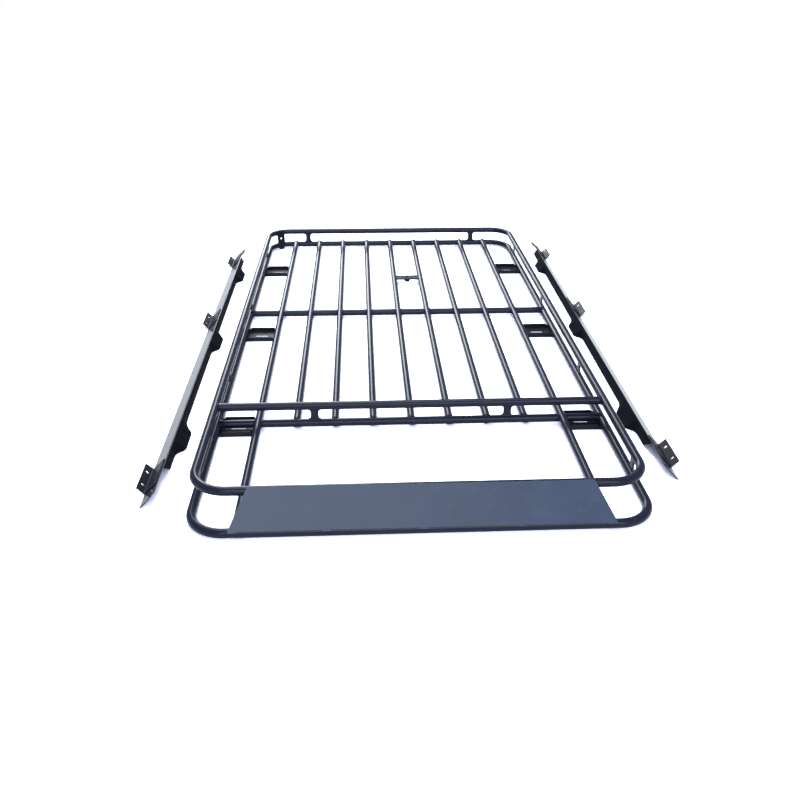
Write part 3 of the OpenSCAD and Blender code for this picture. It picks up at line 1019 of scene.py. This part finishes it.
class ROOFBASKET_OT_welds(bpy.types.Operator):
    """Runs a weld bead round every joint"""

    bl_idname = "roofbasket.welds"
    bl_label = "Weld beads"

    def execute(self, context):
        size = context.scene.roof_basket.bead_size
        for name, joints, coat_name in (
            ("bar_welds", bar_joints(), "tube_coat"),
            ("post_welds", post_joints(), "tube_coat"),
            ("pad_welds", pad_joints(), "bracket_coat"),
            ("tab_welds", tab_joints(), "bracket_coat"),
            ("fairing_welds", fairing_joints(), "fairing_coat"),
        ):
            beads = [
                bead(path, size * scale, 0.7 * k, closed)
                for k, (path, scale, closed) in enumerate(joints)
            ]
            make_piece(name, merge(beads), coat_name)
        return {"FINISHED"}


class ROOFBASKET_OT_fittings(bpy.types.Operator):
    """Adds the weld drops, the strap's thread and rim, and the bracket's welds"""

    bl_idname = "roofbasket.fittings"
    bl_label = "Fittings"

    def execute(self, context):
        size = context.scene.roof_basket.bead_size
        make_piece("crossbar_weld_drops", merge(weld_drops()), "tube_coat")
        make_piece("strap_thread", merge(strap_thread()), "bracket_coat")
        beads = strap_beads(size) + bracket_beads(size)
        make_piece("fitting_welds", merge(beads), "bracket_coat")
        return {"FINISHED"}


class ROOFBASKET_OT_stage(bpy.types.Operator):
    """Lays the floor and sets the lamps and the camera"""

    bl_idname = "roofbasket.stage"
    bl_label = "Floor, lamps and camera"

    def execute(self, context):
        scene = context.scene
        scene.world = studio_world()
        floor_mesh = bpy.data.meshes.new("floor")
        floor_mesh.from_pydata(FLOOR, [], [(0, 1, 2, 3)])
        floor_mesh.materials.append(floor_paint())
        floor = bpy.data.objects.new("floor", floor_mesh)
        scene.collection.objects.link(floor)
        for name, place, target, width, height, watts in LAMPS:
            data = bpy.data.lights.new(name, "AREA")
            data.shape = "RECTANGLE"
            data.size, data.size_y, data.energy = width, height, watts
            data.color = LAMP_COLOUR
            lamp = bpy.data.objects.new(name, data)
            scene.collection.objects.link(lamp)
            lamp.matrix_world = facing(place, target)
        data = bpy.data.cameras.new("camera")
        data.lens, data.sensor_width = CAMERA_LENS, CAMERA_SENSOR
        camera = bpy.data.objects.new("camera", data)
        scene.collection.objects.link(camera)
        camera.matrix_world = camera_pose()
        scene.camera = camera
        scene.view_settings.view_transform = "Standard"
        return {"FINISHED"}


class ROOFBASKET_PT_panel(bpy.types.Panel):
    """Lists the steps of the finish"""

    bl_label = "Roof Basket"
    bl_idname = "ROOFBASKET_PT_panel"
    bl_space_type = "VIEW_3D"
    bl_region_type = "UI"
    bl_category = "Roof Basket"

    def draw(self, context):
        props = context.scene.roof_basket
        for key in BasketProps.__annotations__:
            self.layout.prop(props, key)
        for step in STEPS:
            self.layout.operator(step.bl_idname)


STEPS = (
    ROOFBASKET_OT_coats,
    ROOFBASKET_OT_rings,
    ROOFBASKET_OT_bars,
    ROOFBASKET_OT_rails,
    ROOFBASKET_OT_welds,
    ROOFBASKET_OT_fittings,
    ROOFBASKET_OT_stage,
)
CLASSES = (BasketProps, *STEPS, ROOFBASKET_PT_panel)


def register():
    for cls in CLASSES:
        bpy.utils.register_class(cls)
    bpy.types.Scene.roof_basket = bpy.props.PointerProperty(type=BasketProps)


def unregister():
    del bpy.types.Scene.roof_basket
    for cls in reversed(CLASSES):
        bpy.utils.unregister_class(cls)


def main():
    """Runs every step in order."""
    register()
    bpy.ops.roofbasket.coats()
    bpy.ops.roofbasket.rings()
    bpy.ops.roofbasket.bars()
    bpy.ops.roofbasket.rails()
    bpy.ops.roofbasket.welds()
    bpy.ops.roofbasket.fittings()
    bpy.ops.roofbasket.stage()


if __name__ == "__main__":
    main()
